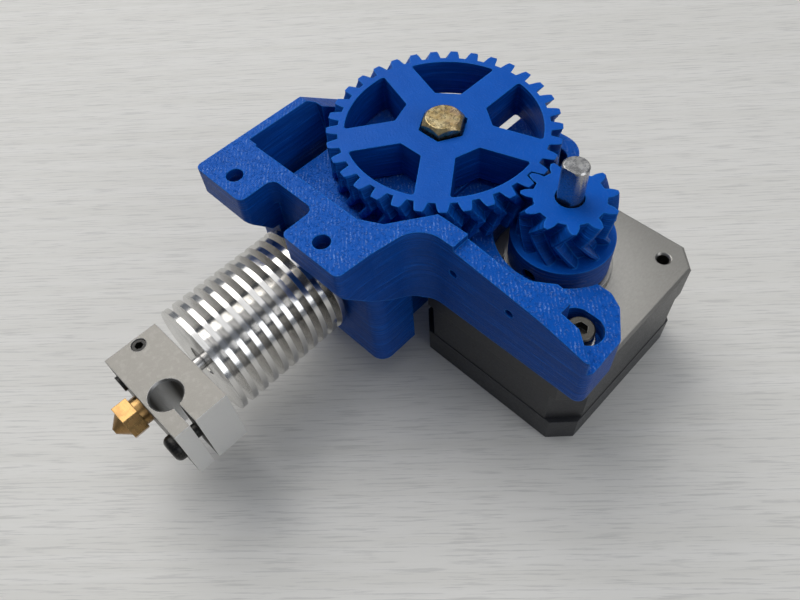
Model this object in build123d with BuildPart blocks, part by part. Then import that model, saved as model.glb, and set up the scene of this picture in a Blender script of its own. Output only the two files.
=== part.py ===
from build123d import *
import math
import os

os.makedirs("parts", exist_ok=True)

# ---------------------------------------------------------------- driving dimensions (mm)
# Origin: motor shaft axis where it meets the motor's back face. +Z runs along the shaft.

# stepper motor
motor_side = 42.3
motor_height = 26.3
motor_corner = 4.2
rear_cap_top = 7.2
stator_top = 17.6
stator_side = 42.0
boss_radius = 11.0
boss_top = 28.3
hole_pitch = 15.5
tapped_radius = 1.25
shaft_radius = 2.5
shaft_top = 54.3
shaft_flat_y = -2.0
shaft_flat_bottom = 29.0

# gear train
big_teeth = 33
small_teeth = 11
axle_x = -31.0
axle_y = -0.5
centre_distance = math.hypot(axle_x, axle_y)
gear_module = 2 * centre_distance / (big_teeth + small_teeth)
pressure_angle = math.radians(20)
backlash = 0.34
big_tip = 24.0
big_root = 21.65
small_tip = 9.1
small_root = 6.85
gear_bottom = 37.9
gear_top = 46.3
gear_middle = 42.1
small_bottom = 36.2
small_top = 46.2
helix_angle = math.radians(34)
window_outer = 20.3
window_inner = 9.6
spoke_width = 6.8
spoke_count = 5
collar_radius = 10.3
collar_bottom = 28.9

# drive axle
bolt_radius = 2.5
head_flats = 8.0
head_bottom = 44.6
head_top = 48.3
bolt_bottom = 2.0
hob_radius = 6.9
hob_z = 23.2
bearing_radius = 8.0
bearing_width = 5.0
bearing_bore = 2.5

# printed body
body_bottom = 9.0
body_top = 37.4
flange_bottom = 40.3
flange_top = 46.5
body_left = -60.0
wall_inner = -55.5
block_right_side = -17.8
body_front = -35.2
flange_front = -41.8
flange_inner = -30.0
plate_top = 36.2
rail_y = -23.3
rail_inner = -19.3
bracket_right = 22.6
bracket_back = 22.6
collar_clear = 13.6
flange_hole_y = -38.0
flange_hole_x = (-52.0, -26.5)
flange_hole_radius = 1.75
seat_z = 32.1
screw_spots = ((15.5, -15.5), (-15.5, -15.5), (-15.5, 15.5))

# idler
idler_x = -43.3
idler_y = -0.5
idler_radius = 5.0
idler_width = 4.0
hinge_x = -45.0
hinge_y = 7.0
arm_bottom = 15.0
arm_top = 31.4
spring_y = -16.0

# hot end, its axis runs along -Y
hot_x = -38.6
hot_z = 23.2
fin_count = 11
fin_pitch = 2.67
fin_radius = 12.5
fin_thick = 1.15
first_fin_y = -63.6
core_radius = 6.5
block_back = -66.6
block_front = -78.1
block_left = -47.0
block_right = -24.0
block_bottom = 15.2
block_top = 31.2
heater_x = -32.3
heater_y = -74.2
heater_radius = 3.1
tip_y = -84.9


def involute(angle):
    return math.tan(angle) - angle


def tooth_half_angle(teeth, radius):
    pitch_radius = gear_module * teeth / 2
    base_radius = pitch_radius * math.cos(pressure_angle)
    at_pitch = math.pi / (2 * teeth) - backlash / (4 * pitch_radius)
    at_base = at_pitch + involute(pressure_angle)
    if radius <= base_radius:
        return at_base + 0.4 * (base_radius - radius) / pitch_radius
    return at_base - involute(math.acos(base_radius / radius))


def gear_points(teeth, root, tip, centre, turn):
    pitch_radius = gear_module * teeth / 2
    base_radius = pitch_radius * math.cos(pressure_angle)
    flank = [root, max(base_radius, root + 0.3), pitch_radius, (pitch_radius + tip) / 2, tip]
    points = []
    for tooth in range(teeth):
        middle = turn + 2 * math.pi * tooth / teeth
        rising = [(radius, middle - tooth_half_angle(teeth, radius)) for radius in flank]
        falling = [(radius, middle + tooth_half_angle(teeth, radius)) for radius in reversed(flank)]
        for radius, angle in rising + falling:
            points.append((centre[0] + radius * math.cos(angle), centre[1] + radius * math.sin(angle)))
    return points


def twist(z, radius, sign):
    return sign * math.tan(helix_angle) * (1 - abs(z - gear_middle) / (gear_top - gear_middle)) * (
        gear_top - gear_middle
    ) / radius


mesh_line = math.atan2(-axle_y, -axle_x)
big_pitch_radius = gear_module * big_teeth / 2
small_pitch_radius = gear_module * small_teeth / 2
big_turn = mesh_line + math.pi / big_teeth
small_turn = mesh_line + math.pi


def gear_section(teeth, root, tip, centre, turn, z):
    with BuildSketch(Plane.XY.offset(z)) as section:
        Polygon(*gear_points(teeth, root, tip, centre, turn), align=None)
    return section.sketch.faces()[0]


def herringbone(teeth, root, tip, centre, turn, pitch_radius, sign, bottom, top, steps):
    levels = [bottom + (gear_middle - bottom) * step / steps for step in range(steps)]
    levels += [gear_middle + (top - gear_middle) * step / steps for step in range(steps + 1)]
    for low, high in zip(levels, levels[1:]):
        sections = [
            gear_section(teeth, root, tip, centre, turn + twist(z, pitch_radius, sign), z)
            for z in (low, high)
        ]
        loft(sections, ruled=True)


def save(builder, name):
    builder.part.label = name
    export_step(builder.part, "parts/" + name + ".step")


# ---------------------------------------------------------------- printed body
with BuildPart() as main_body:
    # flange with the two fixing lugs, and the wall that sweeps round to the rail
    with BuildSketch(Plane.XY.offset(motor_height)) as flange_outline:
        Polygon(
            (body_left, flange_front), (-45.5, flange_front), (-45.5, -33.7), (-33.5, -33.7),
            (-33.5, flange_front), (-18.4, flange_front), (-17.8, -34), (-16.0, rail_y),
            (-8, rail_y), (-8, rail_inner), (-15.2, rail_inner), (-21.0, -27.6), (-25.6, flange_inner),
            (wall_inner, flange_inner), (wall_inner, -14), (body_left, -14),
            align=None,
        )
        front_corners = flange_outline.vertices().filter_by(lambda v: v.Y < -41)
        fillet(front_corners, radius=1.4)
        notch_corners = flange_outline.vertices().filter_by(lambda v: -34 < v.Y < -33.5 and v.X < -30)
        fillet(notch_corners, radius=1.8)
        sweep_corner = flange_outline.vertices().filter_by(lambda v: -17 < v.X < -16.1 or v.X == -16.0)
        fillet(sweep_corner, radius=6)
    extrude(amount=flange_top - motor_height)
    # its underside curves down from the lugs to the bracket
    with BuildSketch(Plane.YZ.offset(body_left - 1)):
        Polygon(
            (flange_front - 2, motor_height - 1), (flange_front - 2, flange_bottom), (flange_front, flange_bottom),
            (-38.0, 36.0), (-35.0, 32.6), (-31.5, 29.9), (-28.0, 27.9), (-24.5, motor_height),
            (-24.5, motor_height - 1),
            align=None,
        )
    extrude(amount=46, mode=Mode.SUBTRACT)
    # block beside the motor, it carries the axle, the idler and the hot end
    with BuildSketch(Plane.XY.offset(body_bottom)) as block_outline:
        Polygon(
            (-52, body_front), (block_right_side, body_front), (block_right_side, -25), (-22, -25), (-22, 13.5),
            (-46, 13.5), (body_left, -0.5), (body_left, -29), (-52, -29),
            align=None,
        )
        front_corner = block_outline.vertices().filter_by(lambda v: v.X > -20 and v.Y < -30)
        fillet(front_corner, radius=3)
    extrude(amount=body_top - body_bottom)
    # motor bracket plate
    with BuildSketch(Plane.XY.offset(motor_height)) as plate_outline:
        Polygon(
            (-27, bracket_back), (-9.5, bracket_back), (-9.5, -5.9), (15.3, -5.9), (18.3, -7.6), (22.4, -13.4),
            (bracket_right, rail_y), (-27, rail_y),
            align=None,
        )
        corners = plate_outline.vertices().filter_by(lambda v: v.X > 20 and v.Y < -20)
        fillet(corners, radius=1.8)
        ear_corner = plate_outline.vertices().filter_by(lambda v: v.X > -12 and v.Y > 20)
        fillet(ear_corner, radius=6)
        ear_bends = plate_outline.vertices().filter_by(lambda v: v.X > 15 and -15 < v.Y)
        fillet(ear_bends, radius=1.5)
    extrude(amount=plate_top - motor_height)
    # the lower block opens under the notch, in front of the hot end's collar
    with BuildSketch(Plane.XY.offset(31.6)):
        with Locations((-39.5, -33.7)):
            Rectangle(12, 10, align=(Align.CENTER, Align.MAX))
    extrude(amount=9, mode=Mode.SUBTRACT)
    # rail along the front of the bracket, its top slopes down to the right
    with BuildSketch(Plane.XZ.offset(-rail_inner)):
        Polygon(
            (-15, plate_top - 4), (-15, flange_top), (-8, 45.3), (3, 43.8), (11, 42.7), (17, 41.2),
            (bracket_right, 39.6), (bracket_right, plate_top - 4),
            align=None,
        )
    extrude(amount=rail_inner - rail_y)
    # the rail is thicker beside the motor screw, then narrows to nothing at its right end
    with BuildSketch(Plane.XZ.offset(15.3)):
        Polygon((4.0, plate_top - 2), (4.0, 43.66), (11, 42.7), (13, 42.2), (13, plate_top - 2), align=None)
    extrude(amount=-rail_inner - 15.3)
    with BuildSketch(Plane.XY.offset(plate_top)):
        Polygon((3.5, rail_inner), (4.0, rail_inner), (9.2, -15.3), (9.2, -15.0), (3.5, -15.0), align=None)
        Polygon((11.0, -15.2), (22.4, -23.1), (24, -23.1), (24, -14.8), (11.0, -14.8), align=None)
    extrude(amount=12, mode=Mode.SUBTRACT)
    # round the rail's right end off to match the bracket's corner
    with BuildSketch(Plane.XY.offset(plate_top - 6)):
        with Locations((bracket_right - 1.8, rail_y + 1.8)):
            Rectangle(3, 3, align=(Align.MIN, Align.MAX))
            Circle(1.8, mode=Mode.SUBTRACT)
    extrude(amount=20, mode=Mode.SUBTRACT)
    # left wall running back beside the gear, its top slopes down to the block
    with BuildSketch(Plane.YZ.offset(body_left)):
        Polygon((-14, body_top - 5), (-14, flange_top), (-0.8, body_top), (-0.8, body_top - 5), align=None)
    extrude(amount=wall_inner - body_left)
    # the left wall's inner face leans back towards its top
    with BuildSketch(Plane.XZ.offset(12)):
        Polygon((wall_inner, body_top), (-58.3, 48), (wall_inner + 2, 48), (wall_inner + 2, body_top), align=None)
    extrude(amount=-flange_inner - 12.4, mode=Mode.SUBTRACT)
    # space round the pinion collar
    with Locations((0, 0, motor_height - 1)):
        Cylinder(
            radius=collar_clear, height=plate_top - motor_height + 2,
            align=(Align.CENTER, Align.CENTER, Align.MIN), mode=Mode.SUBTRACT,
        )
    # idler chamber, open below, and open above only in front of the gear hub
    with BuildSketch(Plane.XY.offset(body_bottom)):
        Polygon(
            (wall_inner, -21.5), (-40.2, -21.5), (-40.2, 10.4), (-45.9, 10.4), (wall_inner, 0.8),
            align=None,
        )
    extrude(amount=32.2 - body_bottom, mode=Mode.SUBTRACT)
    with BuildSketch(Plane.XY.offset(body_bottom)):
        Polygon(
            (wall_inner, -28.5), (-51.8, -26.5), (-51.8, -13.5), (wall_inner, -11.0),
            align=None,
        )
    extrude(amount=body_top - body_bottom + 1, mode=Mode.SUBTRACT)
    # drive gear chamber
    with BuildSketch(Plane.XY.offset(16.2)):
        with Locations((axle_x, axle_y)):
            Circle(7.7)
        with Locations(((axle_x - 40.2) / 2, axle_y)):
            Rectangle(9.4, 15.4)
    extrude(amount=15.6, mode=Mode.SUBTRACT)
    # axle bearing seats and the bore between them
    for seat_bottom in (body_bottom, body_top - bearing_width):
        with Locations((axle_x, axle_y, seat_bottom)):
            Cylinder(
                radius=bearing_radius, height=bearing_width,
                align=(Align.CENTER, Align.CENTER, Align.MIN), mode=Mode.SUBTRACT,
            )
    with Locations((axle_x, axle_y, body_bottom)):
        Cylinder(
            radius=6.2, height=body_top - body_bottom,
            align=(Align.CENTER, Align.CENTER, Align.MIN), mode=Mode.SUBTRACT,
        )
    # hot end socket, filament path and inlet
    with BuildSketch(Plane.XZ.offset(22.9)):
        with Locations((hot_x, hot_z)):
            Circle(8.1)
    extrude(amount=20, mode=Mode.SUBTRACT)
    with BuildSketch(Plane.XZ.offset(-body_front)):
        with Locations((hot_x, hot_z)):
            Circle(fin_radius + 0.7)
    extrude(amount=10, mode=Mode.SUBTRACT)
    with BuildSketch(Plane.XZ.offset(23)):
        with Locations((hot_x, hot_z)):
            Circle(1.6)
    extrude(amount=-40, mode=Mode.SUBTRACT)
    with BuildSketch(Plane.XZ.offset(-10.5)):
        with Locations((hot_x, hot_z)):
            Circle(2.1)
    extrude(amount=-4, mode=Mode.SUBTRACT)
    # two lock screws that catch the hot end's groove, put in from below
    for side in (-1, 1):
        with Locations((hot_x + side * 7.6, -30, body_bottom)):
            Cylinder(
                radius=1.5, height=24.5, align=(Align.CENTER, Align.CENTER, Align.MIN), mode=Mode.SUBTRACT
            )
            Cylinder(
                radius=3.0, height=4.0, align=(Align.CENTER, Align.CENTER, Align.MIN), mode=Mode.SUBTRACT
            )
    # fixing holes through the flange
    for hole_x in flange_hole_x:
        with Locations((hole_x, flange_hole_y, flange_bottom - 10)):
            Cylinder(
                radius=flange_hole_radius, height=20,
                align=(Align.CENTER, Align.CENTER, Align.MIN), mode=Mode.SUBTRACT,
            )
    # slotted recesses for the motor screws
    for spot in screw_spots:
        with BuildSketch(Plane.XY.offset(seat_z)):
            with Locations(spot):
                SlotOverall(8.8, 6.6)
        extrude(amount=5.2, mode=Mode.SUBTRACT)
        with BuildSketch(Plane.XY.offset(motor_height - 1)):
            with Locations(spot):
                SlotOverall(5.0, 3.4)
        extrude(amount=8, mode=Mode.SUBTRACT)
    # hinge screw thread hole and the tension screw's way through the left wall
    with Locations((hinge_x, hinge_y, 32.0)):
        Cylinder(radius=1.5, height=4.6, align=(Align.CENTER, Align.CENTER, Align.MIN), mode=Mode.SUBTRACT)
    with BuildSketch(Plane.YZ.offset(body_left - 1)):
        with Locations((spring_y, hob_z)):
            Circle(1.65)
    extrude(amount=8, mode=Mode.SUBTRACT)
    with BuildSketch(Plane.YZ.offset(wall_inner - 2.4)):
        with Locations((spring_y, hob_z)):
            RegularPolygon(radius=5.6 / math.sqrt(3), side_count=6)
    extrude(amount=3, mode=Mode.SUBTRACT)
    # two small pilot dimples in the rail's outer face
    with BuildSketch(Plane.XZ.offset(-rail_y - 1.2)):
        with Locations((-8.0, 38.6), (5.2, 38.6)):
            Circle(0.9)
    extrude(amount=3, mode=Mode.SUBTRACT)
save(main_body, "main_body")

# ---------------------------------------------------------------- gears
with BuildPart() as big_gear:
    centre = (axle_x, axle_y)
    herringbone(
        big_teeth, big_root, big_tip, centre, big_turn, big_pitch_radius, 1, gear_bottom, gear_top, 2
    )
    with BuildSketch(Plane.XY.offset(gear_bottom)) as windows:
        with Locations(centre):
            Circle(window_outer)
            RegularPolygon(
                radius=window_inner, side_count=spoke_count * 2, rotation=0, major_radius=False,
                mode=Mode.SUBTRACT,
            )
            for spoke in range(spoke_count):
                angle = 90 + 360 * spoke / spoke_count
                with PolarLocations(radius=window_outer / 2, count=1, start_angle=angle):
                    Rectangle(window_outer + 2, spoke_width, mode=Mode.SUBTRACT)
        fillet(windows.vertices(), radius=0.6)
    extrude(amount=gear_top - gear_bottom, mode=Mode.SUBTRACT)
    with BuildSketch(Plane.XY.offset(head_bottom)):
        with Locations(centre):
            RegularPolygon(radius=9.1 / math.sqrt(3), side_count=6)
    extrude(amount=4, mode=Mode.SUBTRACT)
    with Locations((axle_x, axle_y, gear_bottom)):
        Cylinder(radius=2.55, height=12, align=(Align.CENTER, Align.CENTER, Align.MIN), mode=Mode.SUBTRACT)
save(big_gear, "big_gear")

with BuildPart() as pinion:
    herringbone(
        small_teeth, small_root, small_tip, (0, 0), small_turn, small_pitch_radius, -1, small_bottom, small_top,
        6,
    )
    with Locations((0, 0, collar_bottom)):
        Cylinder(
            radius=collar_radius, height=small_bottom - collar_bottom,
            align=(Align.CENTER, Align.CENTER, Align.MIN),
        )
    chamfer(pinion.edges().filter_by(GeomType.CIRCLE).group_by(Axis.Z)[0], length=0.5)
    with Locations((0, 0, collar_bottom - 1)):
        Cylinder(radius=2.8, height=20, align=(Align.CENTER, Align.CENTER, Align.MIN), mode=Mode.SUBTRACT)
    with BuildSketch(Plane.XZ.offset(1.5)):
        with Locations((0, 32.2)):
            Circle(1.6)
    extrude(amount=12, mode=Mode.SUBTRACT)
    with Locations((0, -6.2, collar_bottom - 1)):
        Box(5.7, 2.6, 7.4, align=(Align.CENTER, Align.CENTER, Align.MIN), mode=Mode.SUBTRACT)
save(pinion, "pinion")

with BuildPart() as pinion_nut:
    with BuildSketch(Plane.XZ.offset(5.0)):
        with Locations((0, 32.2)):
            Rectangle(5.5, 5.5)
            Circle(1.5, mode=Mode.SUBTRACT)
    extrude(amount=2.4)
save(pinion_nut, "pinion_nut")

with BuildPart() as pinion_grub:
    with BuildSketch(Plane.XZ.offset(2.1)):
        with Locations((0, 32.2)):
            Circle(1.45)
    extrude(amount=7.4)
    with BuildSketch(Plane.XZ.offset(8.0)):
        with Locations((0, 32.2)):
            RegularPolygon(radius=0.87, side_count=6)
    extrude(amount=2, mode=Mode.SUBTRACT)
save(pinion_grub, "pinion_grub")

# ---------------------------------------------------------------- drive axle
with BuildPart() as drive_bolt:
    with BuildSketch(Plane.XY.offset(head_bottom)):
        with Locations((axle_x, axle_y)):
            RegularPolygon(radius=head_flats / math.sqrt(3), side_count=6)
    extrude(amount=head_top - head_bottom)
    with Locations((axle_x, axle_y, head_bottom)):
        Cone(
            bottom_radius=7.3, top_radius=3.55, height=head_top - head_bottom,
            align=(Align.CENTER, Align.CENTER, Align.MIN), mode=Mode.INTERSECT,
        )
    with Locations((axle_x, axle_y, bolt_bottom)):
        Cylinder(
            radius=bolt_radius, height=head_bottom - bolt_bottom,
            align=(Align.CENTER, Align.CENTER, Align.MIN),
        )
    chamfer(drive_bolt.edges().filter_by(GeomType.CIRCLE).group_by(Axis.Z)[0], length=0.5)
save(drive_bolt, "drive_bolt")

with BuildPart() as drive_gear:
    with Locations((axle_x, axle_y, 17.4)):
        Cylinder(radius=hob_radius, height=11.6, align=(Align.CENTER, Align.CENTER, Align.MIN))
        Cylinder(
            radius=2.5, height=11.6, align=(Align.CENTER, Align.CENTER, Align.MIN), mode=Mode.SUBTRACT
        )
    with BuildSketch(Plane.XY.offset(hob_z - 1.3)):
        with Locations((axle_x, axle_y)):
            with PolarLocations(radius=hob_radius + 0.15, count=30):
                Circle(0.4)
    extrude(amount=2.6, mode=Mode.SUBTRACT)
    with BuildSketch(Plane.YZ.offset(axle_x + 2)):
        with Locations((axle_y, 27.0)):
            Circle(1.5)
    extrude(amount=6, mode=Mode.SUBTRACT)
save(drive_gear, "drive_gear")

with BuildPart() as drive_grub:
    with BuildSketch(Plane.YZ.offset(axle_x + 2.5)):
        with Locations((axle_y, 27.0)):
            Circle(1.45)
    extrude(amount=4.0)
save(drive_grub, "drive_grub")

with BuildPart() as bearing_outer_rings:
    for seat_bottom in (body_bottom, body_top - bearing_width):
        with Locations((axle_x, axle_y, seat_bottom)):
            Cylinder(
                radius=bearing_radius, height=bearing_width, align=(Align.CENTER, Align.CENTER, Align.MIN)
            )
            Cylinder(
                radius=6.3, height=bearing_width,
                align=(Align.CENTER, Align.CENTER, Align.MIN), mode=Mode.SUBTRACT,
            )
        with Locations((axle_x, axle_y, seat_bottom + 0.4)):
            Cylinder(
                radius=6.3, height=bearing_width - 0.8, align=(Align.CENTER, Align.CENTER, Align.MIN)
            )
            Cylinder(
                radius=4.1, height=bearing_width - 0.8,
                align=(Align.CENTER, Align.CENTER, Align.MIN), mode=Mode.SUBTRACT,
            )
save(bearing_outer_rings, "bearing_outer_rings")

with BuildPart() as bearing_inner_rings:
    for seat_bottom in (body_bottom, body_top - bearing_width):
        with Locations((axle_x, axle_y, seat_bottom)):
            Cylinder(radius=4.03, height=bearing_width, align=(Align.CENTER, Align.CENTER, Align.MIN))
            Cylinder(
                radius=bearing_bore, height=bearing_width,
                align=(Align.CENTER, Align.CENTER, Align.MIN), mode=Mode.SUBTRACT,
            )
save(bearing_inner_rings, "bearing_inner_rings")

with BuildPart() as axle_washers:
    for washer_bottom, washer_radius, washer_height in ((body_top, 3.9, 0.5), (body_bottom - 1, 4.0, 1.0)):
        with Locations((axle_x, axle_y, washer_bottom)):
            Cylinder(
                radius=washer_radius, height=washer_height, align=(Align.CENTER, Align.CENTER, Align.MIN)
            )
            Cylinder(
                radius=2.6, height=washer_height,
                align=(Align.CENTER, Align.CENTER, Align.MIN), mode=Mode.SUBTRACT,
            )
save(axle_washers, "axle_washers")

with BuildPart() as lock_nut:
    with BuildSketch(Plane.XY.offset(body_bottom - 5.4)):
        with Locations((axle_x, axle_y)):
            RegularPolygon(radius=head_flats / math.sqrt(3), side_count=6)
    extrude(amount=4.4)
    with Locations((axle_x, axle_y, body_bottom - 5.4)):
        Cylinder(radius=2.5, height=4.4, align=(Align.CENTER, Align.CENTER, Align.MIN), mode=Mode.SUBTRACT)
save(lock_nut, "lock_nut")

# ---------------------------------------------------------------- idler
with BuildPart() as idler_arm:
    with BuildSketch(Plane.XY.offset(arm_bottom)) as arm_outline:
        Polygon(
            (-40.9, -6.5), (-40.9, 3.0), (-43.0, 7.5), (-47.6, 7.5), (-48.6, 3.5), (-49.8, -9.0), (-49.8, -20.0),
            (-44.8, -20.0), (-44.8, -9.0),
            align=None,
        )
        with Locations((hinge_x, hinge_y)):
            Circle(2.9)
    extrude(amount=arm_top - arm_bottom)
    with Locations((idler_x, idler_y, hob_z)):
        Cylinder(radius=idler_radius + 0.4, height=idler_width + 0.7, mode=Mode.SUBTRACT)
    with BuildSketch(Plane.XY.offset(arm_bottom)):
        with Locations((idler_x, idler_y)):
            Circle(1.5)
        with Locations((hinge_x, hinge_y)):
            Circle(1.58)
    extrude(amount=arm_top - arm_bottom, mode=Mode.SUBTRACT)
    with BuildSketch(Plane.YZ.offset(-49.8)):
        with Locations((spring_y, hob_z)):
            Circle(3.4)
    extrude(amount=1.5, mode=Mode.SUBTRACT)
save(idler_arm, "idler_arm")

with BuildPart() as idler_bearing:
    with Locations((idler_x, idler_y, hob_z)):
        Cylinder(radius=idler_radius, height=idler_width)
        Cylinder(radius=1.58, height=idler_width, mode=Mode.SUBTRACT)
    chamfer(idler_bearing.edges().filter_by(GeomType.CIRCLE), length=0.25)
save(idler_bearing, "idler_bearing")

with BuildPart() as idler_axle:
    with Locations((idler_x, idler_y, arm_bottom + 0.4)):
        Cylinder(
            radius=1.5, height=arm_top - arm_bottom - 0.8, align=(Align.CENTER, Align.CENTER, Align.MIN)
        )
save(idler_axle, "idler_axle")

with BuildPart() as hinge_screw:
    with Locations((hinge_x, hinge_y, 11.4)):
        Cylinder(radius=2.75, height=3.0, align=(Align.CENTER, Align.CENTER, Align.MIN))
    with Locations((hinge_x, hinge_y, 14.4)):
        Cylinder(radius=1.5, height=21.6, align=(Align.CENTER, Align.CENTER, Align.MIN))
    with BuildSketch(Plane.XY.offset(11.4)):
        with Locations((hinge_x, hinge_y)):
            RegularPolygon(radius=1.44, side_count=6)
    extrude(amount=1.8, mode=Mode.SUBTRACT)
save(hinge_screw, "hinge_screw")

with BuildPart() as tension_screw:
    with BuildSketch(Plane.YZ.offset(body_left - 3)):
        with Locations((spring_y, hob_z)):
            Circle(2.75)
    extrude(amount=3)
    with BuildSketch(Plane.YZ.offset(body_left - 0.01)):
        with Locations((spring_y, hob_z)):
            Circle(1.45)
    extrude(amount=6.6)
    with BuildSketch(Plane.YZ.offset(body_left - 3)):
        with Locations((spring_y, hob_z)):
            RegularPolygon(radius=1.44, side_count=6)
    extrude(amount=1.6, mode=Mode.SUBTRACT)
save(tension_screw, "tension_screw")

with BuildPart() as tension_nut:
    with BuildSketch(Plane.YZ.offset(wall_inner - 2.4)):
        with Locations((spring_y, hob_z)):
            RegularPolygon(radius=5.5 / math.sqrt(3), side_count=6)
            Circle(1.5, mode=Mode.SUBTRACT)
    extrude(amount=2.3)
save(tension_nut, "tension_nut")

with BuildPart() as tension_washer:
    with BuildSketch(Plane.YZ.offset(wall_inner)):
        with Locations((spring_y, hob_z)):
            Circle(3.5)
            Circle(1.6, mode=Mode.SUBTRACT)
    extrude(amount=0.5)
save(tension_washer, "tension_washer")

spring_start = wall_inner + 0.9
spring_length = (-48.3 - 0.4) - spring_start
with BuildPart() as idler_spring:
    with BuildLine() as coil:
        Helix(
            pitch=spring_length / 5, height=spring_length, radius=2.5,
            center=(spring_start, spring_y, hob_z), direction=(1, 0, 0),
        )
    with BuildSketch(Plane(origin=coil.line @ 0, z_dir=coil.line % 0)):
        Circle(0.35)
    sweep()
save(idler_spring, "idler_spring")

# ---------------------------------------------------------------- motor
with BuildPart() as motor_front_cap:
    with BuildSketch(Plane.XY.offset(stator_top)) as front_square:
        Rectangle(motor_side, motor_side)
        chamfer(front_square.vertices(), length=motor_corner)
    extrude(amount=motor_height - stator_top)
    chamfer(motor_front_cap.faces().sort_by(Axis.Z)[-1].edges(), length=0.5)
    with Locations((0, 0, motor_height)):
        Cylinder(radius=boss_radius, height=boss_top - motor_height, align=(Align.CENTER, Align.CENTER, Align.MIN))
    with Locations((0, 0, stator_top)):
        Cylinder(radius=13, height=3.0, align=(Align.CENTER, Align.CENTER, Align.MIN), mode=Mode.SUBTRACT)
        Cylinder(radius=8, height=8.7, align=(Align.CENTER, Align.CENTER, Align.MIN), mode=Mode.SUBTRACT)
        Cylinder(radius=4.5, height=14, align=(Align.CENTER, Align.CENTER, Align.MIN), mode=Mode.SUBTRACT)
    for spot in screw_spots:
        with Locations((spot[0], spot[1], stator_top)):
            Cylinder(radius=1.5, height=12, align=(Align.CENTER, Align.CENTER, Align.MIN), mode=Mode.SUBTRACT)
    with Locations((hole_pitch, hole_pitch, stator_top)):
        Cylinder(
            radius=tapped_radius, height=12, align=(Align.CENTER, Align.CENTER, Align.MIN), mode=Mode.SUBTRACT
        )
    with Locations((hole_pitch, hole_pitch, motor_height - 0.4)):
        Cone(
            bottom_radius=tapped_radius, top_radius=tapped_radius + 0.4, height=0.4,
            align=(Align.CENTER, Align.CENTER, Align.MIN), mode=Mode.SUBTRACT,
        )
save(motor_front_cap, "motor_front_cap")

with BuildPart() as motor_stator:
    with BuildSketch(Plane.XY.offset(rear_cap_top)) as stator_square:
        Rectangle(stator_side, stator_side)
        chamfer(stator_square.vertices(), length=motor_corner + 1.3)
        Circle(12, mode=Mode.SUBTRACT)
        with Locations((15.5, 15.5), (15.5, -15.5), (-15.5, 15.5), (-15.5, -15.5)):
            Circle(1.6, mode=Mode.SUBTRACT)
    extrude(amount=stator_top - rear_cap_top)
save(motor_stator, "motor_stator")

with BuildPart() as motor_rear_cap:
    with BuildSketch(Plane.XY) as rear_square:
        Rectangle(motor_side, motor_side)
        chamfer(rear_square.vertices(), length=motor_corner)
    extrude(amount=rear_cap_top)
    with Locations((0, 0, 1.0)):
        Cylinder(radius=6.5, height=5.0, align=(Align.CENTER, Align.CENTER, Align.MIN), mode=Mode.SUBTRACT)
    with Locations((0, 0, 5.0)):
        Cylinder(radius=13, height=5.0, align=(Align.CENTER, Align.CENTER, Align.MIN), mode=Mode.SUBTRACT)
    for x in (-hole_pitch, hole_pitch):
        for y in (-hole_pitch, hole_pitch):
            with Locations((x, y, -1)):
                Cylinder(
                    radius=1.6, height=12, align=(Align.CENTER, Align.CENTER, Align.MIN), mode=Mode.SUBTRACT
                )
                Cylinder(
                    radius=3.0, height=3.4, align=(Align.CENTER, Align.CENTER, Align.MIN), mode=Mode.SUBTRACT
                )
save(motor_rear_cap, "motor_rear_cap")

with BuildPart() as case_screws:
    for x in (-hole_pitch, hole_pitch):
        for y in (-hole_pitch, hole_pitch):
            with Locations((x, y, 0.5)):
                Cylinder(radius=2.7, height=1.9, align=(Align.CENTER, Align.CENTER, Align.MIN))
            with Locations((x, y, 2.4)):
                Cylinder(radius=1.45, height=15.0, align=(Align.CENTER, Align.CENTER, Align.MIN))
            with Locations((x, y, 0.5)):
                Box(
                    3.6, 0.8, 1.0, align=(Align.CENTER, Align.CENTER, Align.MIN), mode=Mode.SUBTRACT
                )
                Box(
                    0.8, 3.6, 1.0, align=(Align.CENTER, Align.CENTER, Align.MIN), mode=Mode.SUBTRACT
                )
save(case_screws, "case_screws")

with BuildPart() as motor_shaft:
    with Locations((0, 0, 1.3)):
        Cylinder(
            radius=shaft_radius, height=shaft_top - 1.3, align=(Align.CENTER, Align.CENTER, Align.MIN)
        )
    chamfer(motor_shaft.edges().filter_by(GeomType.CIRCLE).group_by(Axis.Z)[-1], length=0.3)
    with Locations((0, shaft_flat_y, shaft_flat_bottom)):
        Box(8, 4, 30, align=(Align.CENTER, Align.MAX, Align.MIN), mode=Mode.SUBTRACT)
save(motor_shaft, "motor_shaft")

with BuildPart() as motor_rotor:
    with Locations((0, 0, 7.4)):
        Cylinder(radius=11.6, height=12.0, align=(Align.CENTER, Align.CENTER, Align.MIN))
        Cylinder(
            radius=shaft_radius, height=12.0,
            align=(Align.CENTER, Align.CENTER, Align.MIN), mode=Mode.SUBTRACT,
        )
save(motor_rotor, "motor_rotor")

with BuildPart() as motor_bearings:
    for bottom, outer in ((1.1, 6.5), (21.2, 8.0)):
        with Locations((0, 0, bottom)):
            Cylinder(radius=outer, height=4.8, align=(Align.CENTER, Align.CENTER, Align.MIN))
            Cylinder(
                radius=shaft_radius + 0.05, height=4.8,
                align=(Align.CENTER, Align.CENTER, Align.MIN), mode=Mode.SUBTRACT,
            )
save(motor_bearings, "motor_bearings")

with BuildPart() as motor_socket:
    with Locations((0, motor_side / 2, 1.2)):
        Box(16.0, 5.4, 6.0, align=(Align.CENTER, Align.MIN, Align.MIN))
    with Locations((0, motor_side / 2 + 1.4, 2.4)):
        Box(13.6, 5.4, 3.6, align=(Align.CENTER, Align.MIN, Align.MIN), mode=Mode.SUBTRACT)
save(motor_socket, "motor_socket")

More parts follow.
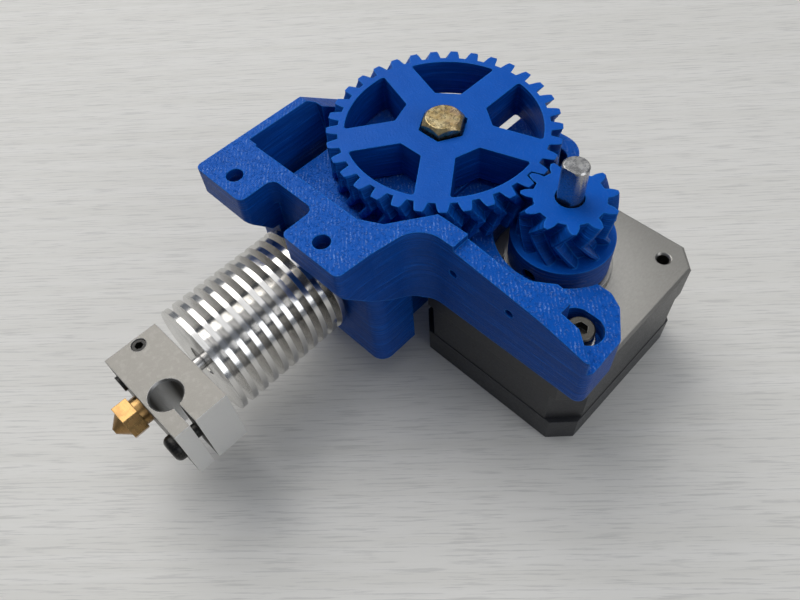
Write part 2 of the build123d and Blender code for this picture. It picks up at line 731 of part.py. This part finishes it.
with BuildPart() as socket_pins:
    for pin in range(6):
        with Locations((-5 + 2 * pin, motor_side / 2 + 1.4, 4.2)):
            Box(0.5, 3.2, 0.5, align=(Align.CENTER, Align.MIN, Align.CENTER))
save(socket_pins, "socket_pins")

with BuildPart() as mount_screws:
    for spot in screw_spots:
        with Locations((spot[0], spot[1], 32.6)):
            Cylinder(radius=2.75, height=3.0, align=(Align.CENTER, Align.CENTER, Align.MIN))
        with Locations((spot[0], spot[1], 21.8)):
            Cylinder(radius=1.45, height=10.8, align=(Align.CENTER, Align.CENTER, Align.MIN))
        with BuildSketch(Plane.XY.offset(33.8)):
            with Locations(spot):
                RegularPolygon(radius=1.44, side_count=6)
        extrude(amount=2, mode=Mode.SUBTRACT)
    chamfer(mount_screws.edges().filter_by(GeomType.CIRCLE).group_by(Axis.Z)[-1], length=0.3)
save(mount_screws, "mount_screws")

with BuildPart() as mount_washers:
    for spot in screw_spots:
        with Locations((spot[0], spot[1], seat_z)):
            Cylinder(radius=3.1, height=0.5, align=(Align.CENTER, Align.CENTER, Align.MIN))
            Cylinder(
                radius=1.6, height=0.5, align=(Align.CENTER, Align.CENTER, Align.MIN), mode=Mode.SUBTRACT
            )
save(mount_washers, "mount_washers")


# ---------------------------------------------------------------- hot end
def turned(y_from, y_to, radius, mode=Mode.ADD):
    with BuildSketch(Plane.XZ.offset(-y_from)) as disc:
        with Locations((hot_x, hot_z)):
            Circle(radius)
    extrude(disc.sketch, amount=y_from - y_to, mode=mode)


def turned_hole(y_from, y_to, radius):
    turned(y_from, y_to, radius, mode=Mode.SUBTRACT)


last_fin_y = first_fin_y + (fin_count - 1) * fin_pitch
with BuildPart() as heatsink:
    turned(-23.2, -27.0, 7.95)
    turned(-27.0, -33.0, 6.0)
    turned(-33.0, -35.2, 7.95)
    turned(-35.2, first_fin_y, core_radius)
    for fin in range(fin_count):
        fin_y = first_fin_y + fin * fin_pitch
        turned(fin_y + fin_thick / 2, fin_y - fin_thick / 2, fin_radius)
    turned_hole(-23.0, -52.0, 1.6)
    turned_hole(-50.0, first_fin_y - 1, 3.5)
save(heatsink, "heatsink")

with BuildPart() as heat_break:
    turned(-52.0, first_fin_y - 0.4, 3.5)
    turned(first_fin_y - 0.4, block_back + 0.5, 1.5)
    turned(block_back + 0.5, -71.4, 3.0)
    turned_hole(-51.0, -72.0, 1.05)
save(heat_break, "heat_break")

with BuildPart() as heat_block:
    with Locations((block_left, block_front, block_bottom)):
        Box(
            block_right - block_left, block_back - block_front, block_top - block_bottom,
            align=(Align.MIN, Align.MIN, Align.MIN),
        )
    turned_hole(block_back + 1, block_front - 1, 3.0)
    with Locations((heater_x, heater_y, block_bottom - 1)):
        Cylinder(
            radius=heater_radius, height=20, align=(Align.CENTER, Align.CENTER, Align.MIN), mode=Mode.SUBTRACT
        )
    with Locations((heater_x, heater_y, block_top - 0.35)):
        Cone(
            bottom_radius=heater_radius, top_radius=heater_radius + 0.35, height=0.35,
            align=(Align.CENTER, Align.CENTER, Align.MIN), mode=Mode.SUBTRACT,
        )
    with Locations((heater_x, heater_y - 0.6, block_bottom - 1)):
        Box(15, 1.2, 20, align=(Align.MIN, Align.MIN, Align.MIN), mode=Mode.SUBTRACT)
    with BuildSketch(Plane.XZ.offset(-block_back)):
        with Locations((-27.2, hot_z)):
            Circle(1.5)
    extrude(amount=15, mode=Mode.SUBTRACT)
    with Locations((-45.2, -71.6, block_bottom - 1)):
        Cylinder(radius=1.5, height=20, align=(Align.CENTER, Align.CENTER, Align.MIN), mode=Mode.SUBTRACT)
    with BuildSketch(Plane.XZ.offset(-block_front - 4)):
        with Locations((-43.6, 27.0)):
            Circle(1.25)
    extrude(amount=5, mode=Mode.SUBTRACT)
save(heat_block, "heat_block")

with BuildPart() as nozzle:
    turned(-71.6, -79.6, 2.98)
    with BuildSketch(Plane.XZ.offset(79.6)):
        with Locations((hot_x, hot_z)):
            RegularPolygon(radius=7.0 / math.sqrt(3), side_count=6)
    extrude(amount=3.2)
    with BuildSketch(Plane.XZ.offset(82.8)):
        with Locations((hot_x, hot_z)):
            Circle(2.7)
    with BuildSketch(Plane.XZ.offset(-tip_y)):
        with Locations((hot_x, hot_z)):
            Circle(0.6)
    loft()
    turned_hole(-71.0, -83.0, 1.0)
    turned_hole(-82.5, tip_y - 1, 0.2)
save(nozzle, "nozzle")

with BuildPart() as clamp_screw:
    with BuildSketch(Plane.XZ.offset(-block_front)):
        with Locations((-27.2, hot_z)):
            Circle(2.75)
    extrude(amount=1.9)
    fillet(clamp_screw.faces().sort_by(Axis.Y)[0].edges(), radius=1.3)
    with BuildSketch(Plane.XZ.offset(-block_front)):
        with Locations((-27.2, hot_z)):
            Circle(1.45)
    extrude(amount=-10.5)
    with BuildSketch(Plane.XZ.offset(-block_front + 0.9)):
        with Locations((-27.2, hot_z)):
            RegularPolygon(radius=1.15, side_count=6)
    extrude(amount=2, mode=Mode.SUBTRACT)
save(clamp_screw, "clamp_screw")

with BuildPart() as sensor_screw:
    with Locations((-45.2, -71.6, block_top - 6.2)):
        Cylinder(radius=1.45, height=6.0, align=(Align.CENTER, Align.CENTER, Align.MIN))
    with BuildSketch(Plane.XY.offset(block_top - 1.7)):
        with Locations((-45.2, -71.6)):
            RegularPolygon(radius=0.87, side_count=6)
    extrude(amount=2, mode=Mode.SUBTRACT)
save(sensor_screw, "sensor_screw")

with BuildPart() as retainer_screw:
    with BuildSketch(Plane.XZ.offset(-block_front)):
        with Locations((-43.6, 27.0)):
            Circle(1.7)
    extrude(amount=0.6)
    with BuildSketch(Plane.XZ.offset(-block_front)):
        with Locations((-43.6, 27.0)):
            Circle(1.2)
    extrude(amount=-3.2)
save(retainer_screw, "retainer_screw")

with BuildPart() as lock_screws:
    for side in (-1, 1):
        with Locations((hot_x + side * 7.6, -30, body_bottom + 0.6)):
            Cylinder(radius=2.75, height=3.0, align=(Align.CENTER, Align.CENTER, Align.MIN))
        with Locations((hot_x + side * 7.6, -30, body_bottom + 3.6)):
            Cylinder(radius=1.45, height=20.0, align=(Align.CENTER, Align.CENTER, Align.MIN))
        with BuildSketch(Plane.XY.offset(body_bottom + 0.6)):
            with Locations((hot_x + side * 7.6, -30)):
                RegularPolygon(radius=1.44, side_count=6)
        extrude(amount=1.6, mode=Mode.SUBTRACT)
save(lock_screws, "lock_screws")
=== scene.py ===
import math

import bmesh
import bpy
from mathutils import Matrix, Vector


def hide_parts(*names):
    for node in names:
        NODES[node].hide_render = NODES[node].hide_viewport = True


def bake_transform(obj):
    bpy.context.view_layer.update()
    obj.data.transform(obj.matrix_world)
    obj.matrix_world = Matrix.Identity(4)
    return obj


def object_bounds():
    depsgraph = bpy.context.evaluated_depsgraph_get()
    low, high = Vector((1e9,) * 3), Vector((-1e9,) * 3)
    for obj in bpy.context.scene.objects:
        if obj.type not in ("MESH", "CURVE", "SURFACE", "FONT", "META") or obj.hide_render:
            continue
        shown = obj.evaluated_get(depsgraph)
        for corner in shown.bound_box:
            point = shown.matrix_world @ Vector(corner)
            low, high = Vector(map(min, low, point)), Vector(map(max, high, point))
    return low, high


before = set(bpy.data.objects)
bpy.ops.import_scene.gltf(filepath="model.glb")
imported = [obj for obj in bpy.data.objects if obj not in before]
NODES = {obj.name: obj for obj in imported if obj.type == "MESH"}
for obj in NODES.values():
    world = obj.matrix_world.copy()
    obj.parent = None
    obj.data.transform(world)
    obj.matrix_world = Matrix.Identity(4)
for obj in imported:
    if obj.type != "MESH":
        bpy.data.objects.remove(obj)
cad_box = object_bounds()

MM = 0.001
FREE_HOLE = 15.5 * MM  # x and y of the motor's free screw hole
BIG_GEAR_AXIS = (-31.0 * MM, -0.5 * MM)
PINION_AXIS = (0.0, 0.0)
FLOOR_GAP = 0.1 * MM


# ---------------------------------------------------------------- node tree helper
class Tree:
    """One material. Sizes are in millimetres, and coordinates in metres in the row's frame."""

    def __init__(self, name):
        self.material = bpy.data.materials.new(name)
        self.material.use_nodes = True
        self.nodes = self.material.node_tree.nodes
        self.links = self.material.node_tree.links
        self.shader = self.nodes["Principled BSDF"]
        coords = self.nodes.new("ShaderNodeTexCoord")
        self.coords = coords.outputs["Object"]
        self.x, self.y, self.z = self.split(self.coords)
        self.nx, self.ny, self.nz = self.split(coords.outputs["Normal"])
        self.normal = None

    def put(self, value, socket):
        if isinstance(value, bpy.types.NodeSocket):
            self.links.new(value, socket)
        elif value is not None:
            socket.default_value = value

    def split(self, vector):
        node = self.nodes.new("ShaderNodeSeparateXYZ")
        self.links.new(vector, node.inputs[0])
        return node.outputs[0], node.outputs[1], node.outputs[2]

    def join(self, x, y, z):
        node = self.nodes.new("ShaderNodeCombineXYZ")
        for value, socket in zip((x, y, z), node.inputs):
            self.put(value, socket)
        return node.outputs[0]

    def maths(self, operation, a, b=None, c=None, clamp=False):
        node = self.nodes.new("ShaderNodeMath")
        node.operation = operation
        node.use_clamp = clamp
        for value, socket in zip((a, b, c), node.inputs):
            self.put(value, socket)
        return node.outputs[0]

    def times(self, a, b):
        return self.maths("MULTIPLY", a, b)

    def away(self, x=0.0, y=0.0):
        """Distance from the upright line through (x, y)."""
        east = self.maths("SUBTRACT", self.x, x)
        north = self.maths("SUBTRACT", self.y, y)
        squares = self.maths("ADD", self.times(east, east), self.times(north, north))
        return self.maths("SQRT", squares)

    def ramp(self, value, low, high, to_low=0.0, to_high=1.0):
        node = self.nodes.new("ShaderNodeMapRange")
        node.interpolation_type = "SMOOTHSTEP"
        for item, socket in zip((value, low, high, to_low, to_high), node.inputs):
            self.put(item, socket)
        return node.outputs[0]

    # size is in millimetres; stretch makes the noise longer along x, y or z
    def noise(self, size, detail=2.0, rough=0.5, stretch=(1, 1, 1)):
        mapping = self.nodes.new("ShaderNodeMapping")
        mapping.inputs["Scale"].default_value = [1 / (size * MM * s) for s in stretch]
        self.links.new(self.coords, mapping.inputs["Vector"])
        node = self.nodes.new("ShaderNodeTexNoise")
        node.inputs["Scale"].default_value = 1.0
        node.inputs["Detail"].default_value = detail
        node.inputs["Roughness"].default_value = rough
        self.links.new(mapping.outputs[0], node.inputs["Vector"])
        return node.outputs["Fac"]

    # stripes along a distance, pitch in millimetres, wander shifts them by radians
    def lines(self, distance, pitch, wander=None):
        phase = self.maths("MULTIPLY", distance, 2 * math.pi / (pitch * MM))
        if wander is not None:
            phase = self.maths("ADD", phase, wander)
        wave = self.maths("SINE", phase)
        return self.maths("MULTIPLY_ADD", wave, 0.5, 0.5)

    def mix(self, factor, a, b):
        node = self.nodes.new("ShaderNodeMix")
        node.data_type = "RGBA"
        self.put(factor, node.inputs[0])
        self.put(a if isinstance(a, bpy.types.NodeSocket) else (*a, 1.0), node.inputs[6])
        self.put(b if isinstance(b, bpy.types.NodeSocket) else (*b, 1.0), node.inputs[7])
        return node.outputs[2]

    # rounds the edges in the shading and returns 1 on them and 0 elsewhere
    def edge(self, radius):
        bevel = self.nodes.new("ShaderNodeBevel")
        bevel.samples = 4
        bevel.inputs["Radius"].default_value = radius * MM
        geometry = self.nodes.new("ShaderNodeNewGeometry")
        dot = self.nodes.new("ShaderNodeVectorMath")
        dot.operation = "DOT_PRODUCT"
        self.links.new(bevel.outputs[0], dot.inputs[0])
        self.links.new(geometry.outputs["Normal"], dot.inputs[1])
        self.normal = bevel.outputs[0]
        return self.ramp(dot.outputs["Value"], 0.995, 0.85)

    def bump(self, height, depth, strength=1.0):
        node = self.nodes.new("ShaderNodeBump")
        node.inputs["Strength"].default_value = strength
        node.inputs["Distance"].default_value = depth * MM
        self.put(height, node.inputs["Height"])
        self.put(self.normal, node.inputs["Normal"])
        self.normal = node.outputs[0]

    def finish(self, colour, roughness, **fixed):
        self.put(colour, self.shader.inputs["Base Color"])
        self.put(roughness, self.shader.inputs["Roughness"])
        self.put(self.normal, self.shader.inputs["Normal"])
        for name, value in fixed.items():
            self.shader.inputs[name.replace("_", " ")].default_value = value
        return self.material


# ---------------------------------------------------------------- printed plastic
def printed_plastic(name, top_sheen, top_rough, ring_centre=None):
    """Walls show layers, with painted shade in the grooves and a painted highlight on the crests. Tops
    show beads, diagonal or in rings, with a painted pale sheen of glints. Edges carry a painted
    highlight.
    """
    t = Tree(name)
    up = t.ramp(t.maths("ABSOLUTE", t.nz), 0.90, 0.97)
    edge_mask = t.edge(0.45)
    wobble = t.noise(3.0, 3.0)
    layers = t.lines(t.z, 0.34, t.times(wobble, 2.6))
    if ring_centre is None:
        along = t.maths("ADD", t.times(t.x, 0.70), t.times(t.y, 0.72))
    else:
        along = t.away(*ring_centre)
    beads = t.lines(along, 0.72, t.times(t.noise(1.3, 4.0, 0.65), 9.0))
    broken = t.ramp(t.noise(2.0, 3.0, 0.6), 0.40, 0.66)
    grain = t.noise(0.36, 4.0, 0.68)
    blobs = t.ramp(t.noise(0.8, 4.0, 0.7), 0.50, 0.70)
    drift = t.noise(8.0, 3.0)
    patchy = t.ramp(t.noise(1.5, 2.0, 0.5, (5, 5, 0.35)), 0.25, 0.75, 0.25, 1.0)
    bands = t.ramp(t.noise(1.0, 3.0, 0.7, (18, 18, 0.5)), 0.36, 0.62)
    side = t.maths("MULTIPLY_ADD", layers, 0.4, t.times(bands, 0.6))
    side = t.times(side, patchy)
    height_side = t.maths("MULTIPLY_ADD", side, 0.8, t.times(grain, 0.25))
    height_top = t.times(t.times(beads, broken), 0.35 * top_rough)
    height_top = t.maths("MULTIPLY_ADD", blobs, 0.8 * top_rough, height_top)
    height_top = t.maths("MULTIPLY_ADD", grain, 0.25 + 0.55 * top_rough, height_top)
    flat = t.maths("SUBTRACT", 1.0, up)
    height = t.maths("ADD", t.times(height_top, up), t.times(height_side, flat))
    t.bump(height, 0.14, 1.0)
    deep = t.mix(drift, (0.0006, 0.066, 0.38), (0.0010, 0.100, 0.52))
    # Painted shade and painted highlight: the layer grooves on the walls are painted darker and the
    # layer crests lighter blue.
    groove_shade = t.times(t.maths("SUBTRACT", 1.0, side), flat)
    lined = t.mix(t.times(groove_shade, 0.80), deep, (0.0004, 0.028, 0.17))
    crest_highlight = t.times(t.times(t.ramp(side, 0.60, 0.85), flat), 0.45)
    lined = t.mix(crest_highlight, lined, (0.010, 0.17, 0.68))
    # Painted sheen: pale streaks along the beads and pale blobs on upward faces stand for glints of
    # reflected light.
    streak = t.times(t.ramp(beads, 0.45, 0.95), t.ramp(grain, 0.44, 0.62))
    streak = t.times(streak, broken)
    sheen_spots = t.maths("MAXIMUM", streak, t.times(blobs, t.ramp(grain, 0.50, 0.62)))
    top_sheen_mask = t.times(t.times(up, sheen_spots), top_sheen)
    topped = t.mix(top_sheen_mask, lined, (0.20, 0.33, 0.72))
    # Painted highlight: the edges are painted lighter blue to stand for the bright rims of reflected
    # light.
    colour = t.mix(t.times(edge_mask, 0.65), topped, (0.020, 0.25, 0.84))
    rough = t.maths("ADD", t.ramp(grain, 0.3, 0.7, 0.34, 0.50), t.times(flat, 0.03))
    return t.finish(colour, rough, Specular_IOR_Level=0.28, Specular_Tint=(0.25, 0.58, 1.0, 1.0))


# ---------------------------------------------------------------- metals
def plated_yellow(name):
    t = Tree(name)
    t.edge(0.25)
    tint = t.ramp(t.noise(1.8, 3.0, 0.6), 0.35, 0.68)
    pink = t.ramp(t.noise(2.6, 2.0, 0.5, (1, 2, 1)), 0.45, 0.70)
    gold = t.mix(tint, (0.42, 0.30, 0.13), (0.62, 0.51, 0.29))
    colour = t.mix(t.times(pink, 0.45), gold, (0.52, 0.30, 0.24))
    t.bump(t.noise(0.25, 4.0, 0.6), 0.010)
    return t.finish(colour, t.ramp(t.noise(0.6, 3.0), 0.3, 0.7, 0.22, 0.38), Metallic=1.0)


def bright_steel(name):
    t = Tree(name)
    t.edge(0.2)
    streak = t.noise(0.12, 3.0, 0.6, (8, 8, 1))
    colour = t.mix(streak, (0.42, 0.41, 0.40), (0.72, 0.71, 0.69))
    t.bump(streak, 0.01)
    return t.finish(colour, t.ramp(streak, 0.3, 0.7, 0.20, 0.36), Metallic=1.0)


def shaft_steel(name):
    t = Tree(name)
    t.edge(0.15)
    ring = t.lines(t.away(), 0.2)
    grind = t.noise(0.12, 3.0, 0.6, (6, 6, 1))
    wedge = t.nodes.new("ShaderNodeTexGradient")
    wedge.gradient_type = "RADIAL"
    t.links.new(t.coords, wedge.inputs["Vector"])
    sheen = t.maths("SINE", t.maths("MULTIPLY_ADD", wedge.outputs["Fac"], 12.566, 0.9))
    top = t.ramp(t.nz, 0.9, 0.98)
    sheen = t.times(t.ramp(sheen, -0.2, 0.9), top)
    colour = t.mix(grind, (0.40, 0.39, 0.375), (0.55, 0.54, 0.52))
    colour = t.mix(t.times(sheen, 0.6), colour, (0.80, 0.78, 0.75))
    colour = t.mix(t.times(ring, 0.12), colour, (0.25, 0.24, 0.23))
    t.bump(t.maths("MULTIPLY_ADD", ring, 0.5, t.times(grind, 0.5)), 0.0015)
    return t.finish(colour, t.ramp(grind, 0.3, 0.7, 0.22, 0.34), Metallic=1.0)


def black_oxide(name):
    t = Tree(name)
    edge_mask = t.edge(0.2)
    grain = t.noise(0.35, 4.0, 0.65)
    colour = t.mix(t.ramp(grain, 0.4, 0.75), (0.012, 0.012, 0.012), (0.05, 0.046, 0.04))
    colour = t.mix(t.times(edge_mask, 0.7), colour, (0.16, 0.15, 0.14))
    t.bump(grain, 0.02)
    return t.finish(colour, t.ramp(grain, 0.3, 0.7, 0.26, 0.42), Metallic=0.65)


def nickel_screw(name):
    t = Tree(name)
    edge_mask = t.edge(0.2)
    grain = t.noise(0.3, 4.0, 0.65)
    colour = t.mix(grain, (0.045, 0.042, 0.036), (0.11, 0.104, 0.09))
    # Painted highlight: the edges are painted silver to stand for the light caught on the hex.
    colour = t.mix(t.times(edge_mask, 0.6), colour, (0.42, 0.40, 0.36))
    t.bump(t.lines(t.z, 0.45), 0.02, 0.4)
    return t.finish(colour, t.ramp(grain, 0.3, 0.7, 0.26, 0.4), Metallic=0.9)


def motor_face(name):
    """Bare metal on top and in the holes, black paint on the walls."""
    t = Tree(name)
    edge_mask = t.edge(0.3)
    radius = t.away()
    hole = t.away(FREE_HOLE, FREE_HOLE)
    clear_of_hole = t.maths("SUBTRACT", 1.0, t.ramp(hole, 2.1 * MM, 1.9 * MM))
    outside = t.times(t.ramp(radius, 15.0 * MM, 15.2 * MM), clear_of_hole)
    wall = t.ramp(t.maths("ABSOLUTE", t.nz), 0.75, 0.55)
    paint = t.times(wall, outside)
    fine = t.noise(0.16, 4.0, 0.7, (1, 5, 1))
    mottled = t.noise(0.5, 4.0, 0.7)
    metal = t.mix(fine, (0.33, 0.315, 0.285), (0.60, 0.58, 0.54))
    metal = t.mix(t.times(mottled, 0.35), metal, (0.30, 0.285, 0.25))
    # Painted reflection: the face is painted darker away from the shaft, so the bright middle stands for
    # the overhead light reflected near the pinion.
    metal = t.mix(t.ramp(radius, 12.0 * MM, 24.0 * MM, 0.0, 0.45), metal, (0.20, 0.19, 0.17))
    # Painted shade: the thread grooves in the free hole are painted nearly black.
    thread = t.times(t.ramp(hole, 1.5 * MM, 1.3 * MM), t.lines(t.z, 0.5))
    metal = t.mix(t.times(thread, 0.7), metal, (0.04, 0.04, 0.04))
    black = t.mix(t.noise(0.6, 4.0, 0.6), (0.014, 0.014, 0.015), (0.030, 0.030, 0.031))
    black = t.mix(t.times(edge_mask, 0.25), black, (0.16, 0.16, 0.155))
    t.bump(t.maths("ADD", fine, t.times(mottled, 0.6)), 0.012)
    rough = t.maths("ADD", t.times(paint, 0.02), t.ramp(mottled, 0.3, 0.7, 0.30, 0.42))
    t.put(t.maths("SUBTRACT", 1.0, paint), t.shader.inputs["Metallic"])
    return t.finish(t.mix(paint, metal, black), rough)


def painted_black(name, laminated):
    t = Tree(name)
    edge_mask = t.edge(0.3)
    grain = t.noise(0.55, 4.0, 0.6)
    cloud = t.noise(7.0, 3.0, 0.6)
    colour = t.mix(cloud, (0.016, 0.017, 0.020), (0.030, 0.031, 0.034))
    if laminated:
        sheets = t.lines(t.z, 0.5, t.times(grain, 0.8))
        colour = t.mix(t.times(sheets, 0.3), colour, (0.036, 0.033, 0.029))
        t.bump(t.maths("MULTIPLY_ADD", sheets, 0.35, t.times(grain, 0.5)), 0.03, 0.7)
    else:
        t.bump(grain, 0.03, 0.7)
    colour = t.mix(t.times(edge_mask, 0.20), colour, (0.10, 0.10, 0.10))
    return t.finish(colour, t.ramp(grain, 0.3, 0.7, 0.34, 0.46), IOR=1.48)


def turned_aluminium(name):
    t = Tree(name)
    t.edge(0.12)
    groove = t.noise(0.10, 2.0, 0.5, (30, 1, 30))
    stain = t.noise(3.0, 3.0, 0.6)
    colour = t.mix(groove, (0.52, 0.51, 0.495), (0.78, 0.77, 0.75))
    colour = t.mix(t.times(stain, 0.2), colour, (0.42, 0.40, 0.36))
    t.bump(groove, 0.006, 0.8)
    return t.finish(colour, t.ramp(stain, 0.3, 0.7, 0.13, 0.22), Metallic=1.0)


def milled_aluminium(name):
    t = Tree(name)
    edge_mask = t.edge(0.22)
    blast = t.noise(0.22, 5.0, 0.75)
    mottled = t.noise(1.1, 4.0, 0.65)
    across = t.lines(t.maths("ADD", t.y, t.times(t.z, 0.6)), 0.42, t.times(mottled, 2.0))
    flank = t.ramp(t.maths("ABSOLUTE", t.nx), 0.6, 0.9)
    colour = t.mix(blast, (0.12, 0.114, 0.104), (0.235, 0.227, 0.208))
    colour = t.mix(t.times(t.ramp(mottled, 0.48, 0.70), 0.30), colour, (0.27, 0.262, 0.245))
    colour = t.mix(t.times(edge_mask, 0.7), colour, (0.92, 0.91, 0.89))
    # Painted highlight: faces turned along x are painted near-white to stand for the side light on the
    # block's ends.
    colour = t.mix(t.times(flank, 0.85), colour, (0.90, 0.90, 0.89))
    height = t.maths("MULTIPLY_ADD", t.times(across, flank), 0.5, blast)
    t.bump(height, 0.03, 0.8)
    return t.finish(colour, t.ramp(blast, 0.3, 0.7, 0.36, 0.52), Metallic=0.9)


def turned_brass(name):
    t = Tree(name)
    edge_mask = t.edge(0.2)
    groove = t.noise(0.14, 2.0, 0.5, (20, 1, 20))
    stain = t.noise(1.2, 4.0, 0.6)
    colour = t.mix(groove, (0.30, 0.175, 0.065), (0.40, 0.25, 0.10))
    colour = t.mix(t.times(t.ramp(stain, 0.45, 0.75), 0.4), colour, (0.27, 0.13, 0.06))
    colour = t.mix(t.times(edge_mask, 0.5), colour, (0.80, 0.58, 0.28))
    t.bump(groove, 0.006)
    return t.finish(colour, t.ramp(stain, 0.3, 0.7, 0.22, 0.36), Metallic=1.0)


def moulded_white(name):
    t = Tree(name)
    t.edge(0.3)
    grain = t.noise(0.5, 4.0, 0.6)
    colour = t.mix(t.noise(4.0, 2.0), (0.66, 0.64, 0.56), (0.76, 0.745, 0.68))
    t.bump(grain, 0.02)
    return t.finish(colour, t.ramp(grain, 0.3, 0.7, 0.36, 0.48), IOR=1.5)


def floor_finish(name):
    t = Tree(name)
    turn = math.radians(44)
    along = t.maths(
        "ADD", t.times(t.x, math.cos(turn)), t.times(t.y, math.sin(turn))
    )
    over = t.maths(
        "SUBTRACT", t.times(t.y, math.cos(turn)), t.times(t.x, math.sin(turn))
    )

    def streaks(long, across):
        place = t.join(t.times(along, long), t.times(over, across), 0.0)
        node = t.nodes.new("ShaderNodeTexNoise")
        node.inputs["Scale"].default_value = 1.0
        node.inputs["Detail"].default_value = 4.0
        node.inputs["Roughness"].default_value = 0.65
        t.links.new(place, node.inputs["Vector"])
        return node.outputs["Fac"]

    wide = streaks(7.0, 260.0)
    fine = streaks(80.0, 2000.0)
    colour = t.mix(t.ramp(wide, 0.36, 0.64), (0.66, 0.645, 0.605), (0.70, 0.685, 0.65))
    colour = t.mix(t.times(t.ramp(fine, 0.50, 0.36), 0.55), colour, (0.47, 0.46, 0.44))
    t.bump(fine, 0.03, 0.2)
    return t.finish(colour, 0.55, IOR=1.45)


body_print = printed_plastic("body_print", 0.85, 1.0)
wheel_print = printed_plastic("wheel_print", 0.07, 0.22, BIG_GEAR_AXIS)
pinion_print = printed_plastic("pinion_print", 0.07, 0.22, PINION_AXIS)
yellow_zinc = plated_yellow("yellow_zinc")
steel = bright_steel("steel")
ground_steel = shaft_steel("ground_steel")
black_steel = black_oxide("black_steel")
dark_nickel = nickel_screw("dark_nickel")
face = motor_face("motor_face")
laminations = painted_black("laminations", True)
black_paint = painted_black("black_paint", False)
fins = turned_aluminium("fins")
block = milled_aluminium("block")
brass = turned_brass("brass")
white_plastic = moulded_white("white_plastic")

FINISHES = {
    "main_body": body_print, "idler_arm": body_print, "big_gear": wheel_print, "pinion": pinion_print,
    "drive_bolt": yellow_zinc, "drive_gear": steel, "drive_grub": black_steel,
    "bearing_outer_rings": steel, "bearing_inner_rings": steel, "axle_washers": steel, "lock_nut": steel,
    "pinion_nut": steel, "pinion_grub": black_steel, "idler_bearing": steel, "idler_axle": steel,
    "hinge_screw": black_steel, "tension_screw": black_steel, "tension_nut": steel,
    "tension_washer": steel, "idler_spring": steel, "motor_front_cap": face,
    "motor_stator": laminations, "motor_rear_cap": black_paint, "case_screws": steel,
    "motor_shaft": ground_steel, "motor_rotor": steel, "motor_bearings": steel,
    "motor_socket": white_plastic, "socket_pins": steel, "mount_screws": dark_nickel,
    "mount_washers": steel, "heatsink": fins, "heat_break": steel, "heat_block": block,
    "nozzle": brass, "clamp_screw": black_steel, "sensor_screw": black_steel,
    "retainer_screw": black_steel, "lock_screws": black_steel,
}
for name, node in NODES.items():
    node.data.materials.clear()
    node.data.materials.append(FINISHES[name])

# ---------------------------------------------------------------- spring
# The spring's mesh is copied into its own object, and the imported spring is hidden.
coil = bpy.data.objects.new("spring_coil", NODES["idler_spring"].data.copy())
bpy.context.scene.collection.objects.link(coil)
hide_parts("idler_spring")
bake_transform(coil)

# ---------------------------------------------------------------- floor
mesh = bpy.data.meshes.new("floor")
grid = bmesh.new()
bmesh.ops.create_grid(grid, x_segments=2, y_segments=2, size=3.0)
grid.to_mesh(mesh)
grid.free()
floor = bpy.data.objects.new("floor", mesh)
floor.location = (0, 0, cad_box[0].z - FLOOR_GAP)
floor.data.materials.append(floor_finish("floor_finish"))
bpy.context.scene.collection.objects.link(floor)


# ---------------------------------------------------------------- light
def softbox(name, direction, distance, size, power, colour):
    data = bpy.data.lights.new(name, "AREA")
    data.shape = "RECTANGLE"
    data.size, data.size_y = size
    data.energy = power
    data.color = colour
    lamp = bpy.data.objects.new(name, data)
    target = Vector((-0.02, -0.02, 0.02))
    away = Vector(direction).normalized()
    lamp.location = target + away * distance
    lamp.rotation_mode = "QUATERNION"
    lamp.rotation_quaternion = away.to_track_quat("Z", "Y")
    bpy.context.scene.collection.objects.link(lamp)


softbox("window", (-0.66, 0.10, 0.80), 2.0, (1.5, 1.5), 24.0, (1.0, 0.985, 0.96))
softbox("side", (1.0, 0.15, 0.55), 2.0, (0.9, 1.1), 7.0, (0.93, 0.96, 1.0))
softbox("ceiling", (-0.10, 0.20, 1.0), 2.2, (2.2, 2.2), 15.0, (1.0, 1.0, 1.0))

world = bpy.data.worlds.new("studio")
world.use_nodes = True
world.node_tree.nodes["Background"].inputs["Color"].default_value = (0.74, 0.81, 0.94, 1.0)
world.node_tree.nodes["Background"].inputs["Strength"].default_value = 0.24
bpy.context.scene.world = world

# ---------------------------------------------------------------- camera
azimuth, drop, roll = 2.42526428, 0.95818122, -0.10125638  # radians
camera_place = (0.0435771, -0.0818014, 0.1420707)
forward = Vector(
    (math.cos(drop) * math.cos(azimuth), math.cos(drop) * math.sin(azimuth), -math.sin(drop))
)
level = forward.cross(Vector((0, 0, 1))).normalized()
rise = level.cross(forward)
right = level * math.cos(roll) + rise * math.sin(roll)
up = rise * math.cos(roll) - level * math.sin(roll)
camera_data = bpy.data.cameras.new("camera")
camera_data.sensor_width = 36.0
camera_data.lens = 31.326
camera_data.clip_start = 0.005
camera = bpy.data.objects.new("camera", camera_data)
turn = Matrix((right, up, -forward)).transposed().to_4x4()
camera.matrix_world = Matrix.Translation(camera_place) @ turn
bpy.context.scene.collection.objects.link(camera)
bpy.context.scene.camera = camera
bpy.context.scene.view_settings.view_transform = "Standard"
